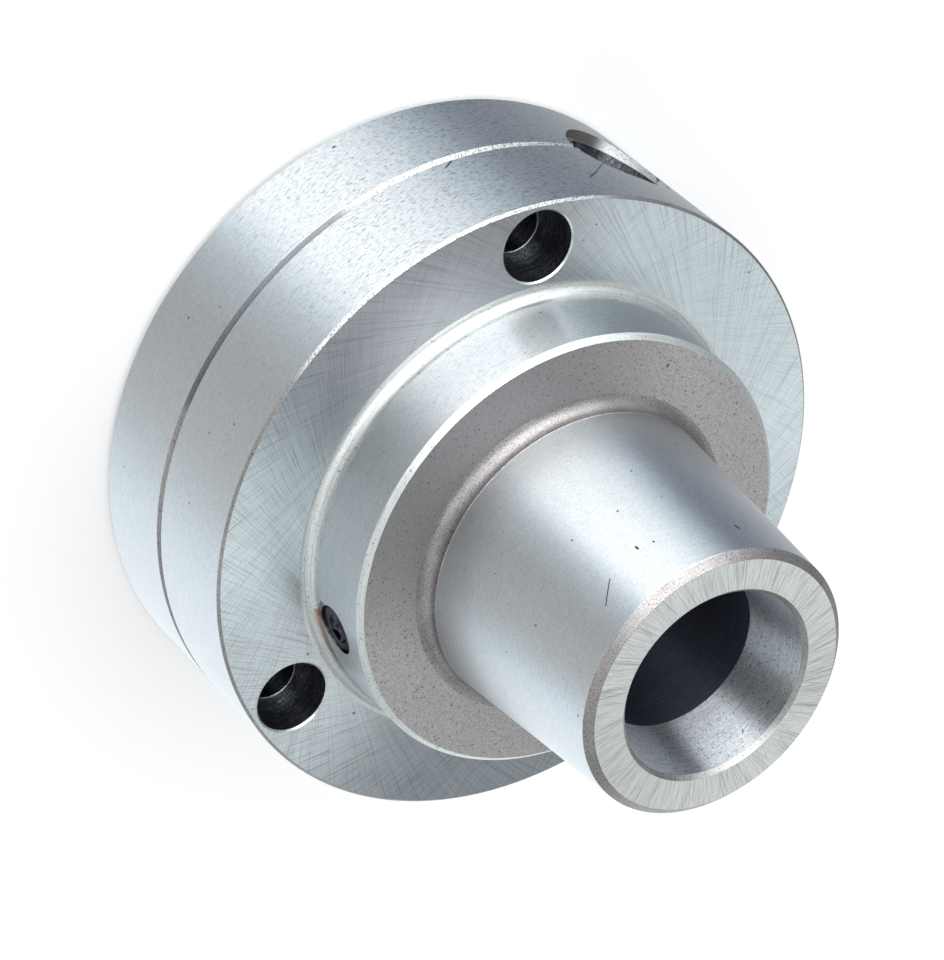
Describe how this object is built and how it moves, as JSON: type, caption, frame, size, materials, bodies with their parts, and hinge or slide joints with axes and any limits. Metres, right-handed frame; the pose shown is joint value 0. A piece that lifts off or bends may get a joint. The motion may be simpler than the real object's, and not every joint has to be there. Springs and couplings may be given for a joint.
{
  "type": "lathe collet chuck",
  "caption": "Flanged steel collet chuck with a tapered nose and stepped bore; a radial key pinion turns a threaded bevel ring that draws the collet in.",
  "frame": {"origin": "centre of the flat back face", "axes": "+Z along the spindle axis towards the nose, +X along the key pinion's axis outwards"},
  "size_m": [0.125, 0.125, 0.1063],
  "materials": {
    "ground_steel": "surface ground, fine turning marks on the cylinders",
    "hardened_steel": "hardened and ground, oiled",
    "bearing_steel": "polished",
    "pressed_steel": "pressed, satin",
    "black_oxide": "black oxide"
  },
  "bodies": {
    "chuck_body": {"front_body": "ground_steel", "rear_body": "ground_steel", "thrust_washer_front": "bearing_steel", "key_pin": "hardened_steel", "key_screw": "black_oxide", "body_screw_1": "black_oxide", "body_screw_2": "black_oxide", "body_screw_3": "black_oxide", "dowel_1": "bearing_steel", "dowel_2": "bearing_steel"},
    "ring": {"draw_ring": "hardened_steel", "thrust_washer_rear": "bearing_steel"},
    "key_pinion": {"pinion": "hardened_steel"},
    "cage": {"needle_cage": "pressed_steel", "needle_01": "bearing_steel", "needle_02": "bearing_steel", "needle_03": "bearing_steel", "needle_04": "bearing_steel", "needle_05": "bearing_steel", "needle_06": "bearing_steel", "needle_07": "bearing_steel", "needle_08": "bearing_steel", "needle_09": "bearing_steel", "needle_10": "bearing_steel", "needle_11": "bearing_steel", "needle_12": "bearing_steel", "needle_13": "bearing_steel", "needle_14": "bearing_steel", "needle_15": "bearing_steel", "needle_16": "bearing_steel", "needle_17": "bearing_steel", "needle_18": "bearing_steel", "needle_19": "bearing_steel", "needle_20": "bearing_steel", "needle_21": "bearing_steel", "needle_22": "bearing_steel", "needle_23": "bearing_steel", "needle_24": "bearing_steel"}
  },
  "joints": [
    {"name": "draw_ring_turn", "type": "hinge", "parent": "chuck_body", "child": "ring", "pos_m": [0, 0, 0.034], "axis": [0, 0, 1], "continuous": true},
    {"name": "pinion_turn", "type": "hinge", "parent": "chuck_body", "child": "key_pinion", "pos_m": [0.05, 0, 0.02015], "axis": [1, 0, 0], "continuous": true},
    {"name": "cage_turn", "type": "hinge", "parent": "chuck_body", "child": "cage", "pos_m": [0, 0, 0.0365], "axis": [0, 0, 1], "continuous": true}
  ],
  "couplings": [
    {"joint": "pinion_turn", "follows": "draw_ring_turn", "ratio": -4.7273},
    {"joint": "cage_turn", "follows": "draw_ring_turn", "ratio": 0.5}
  ]
}
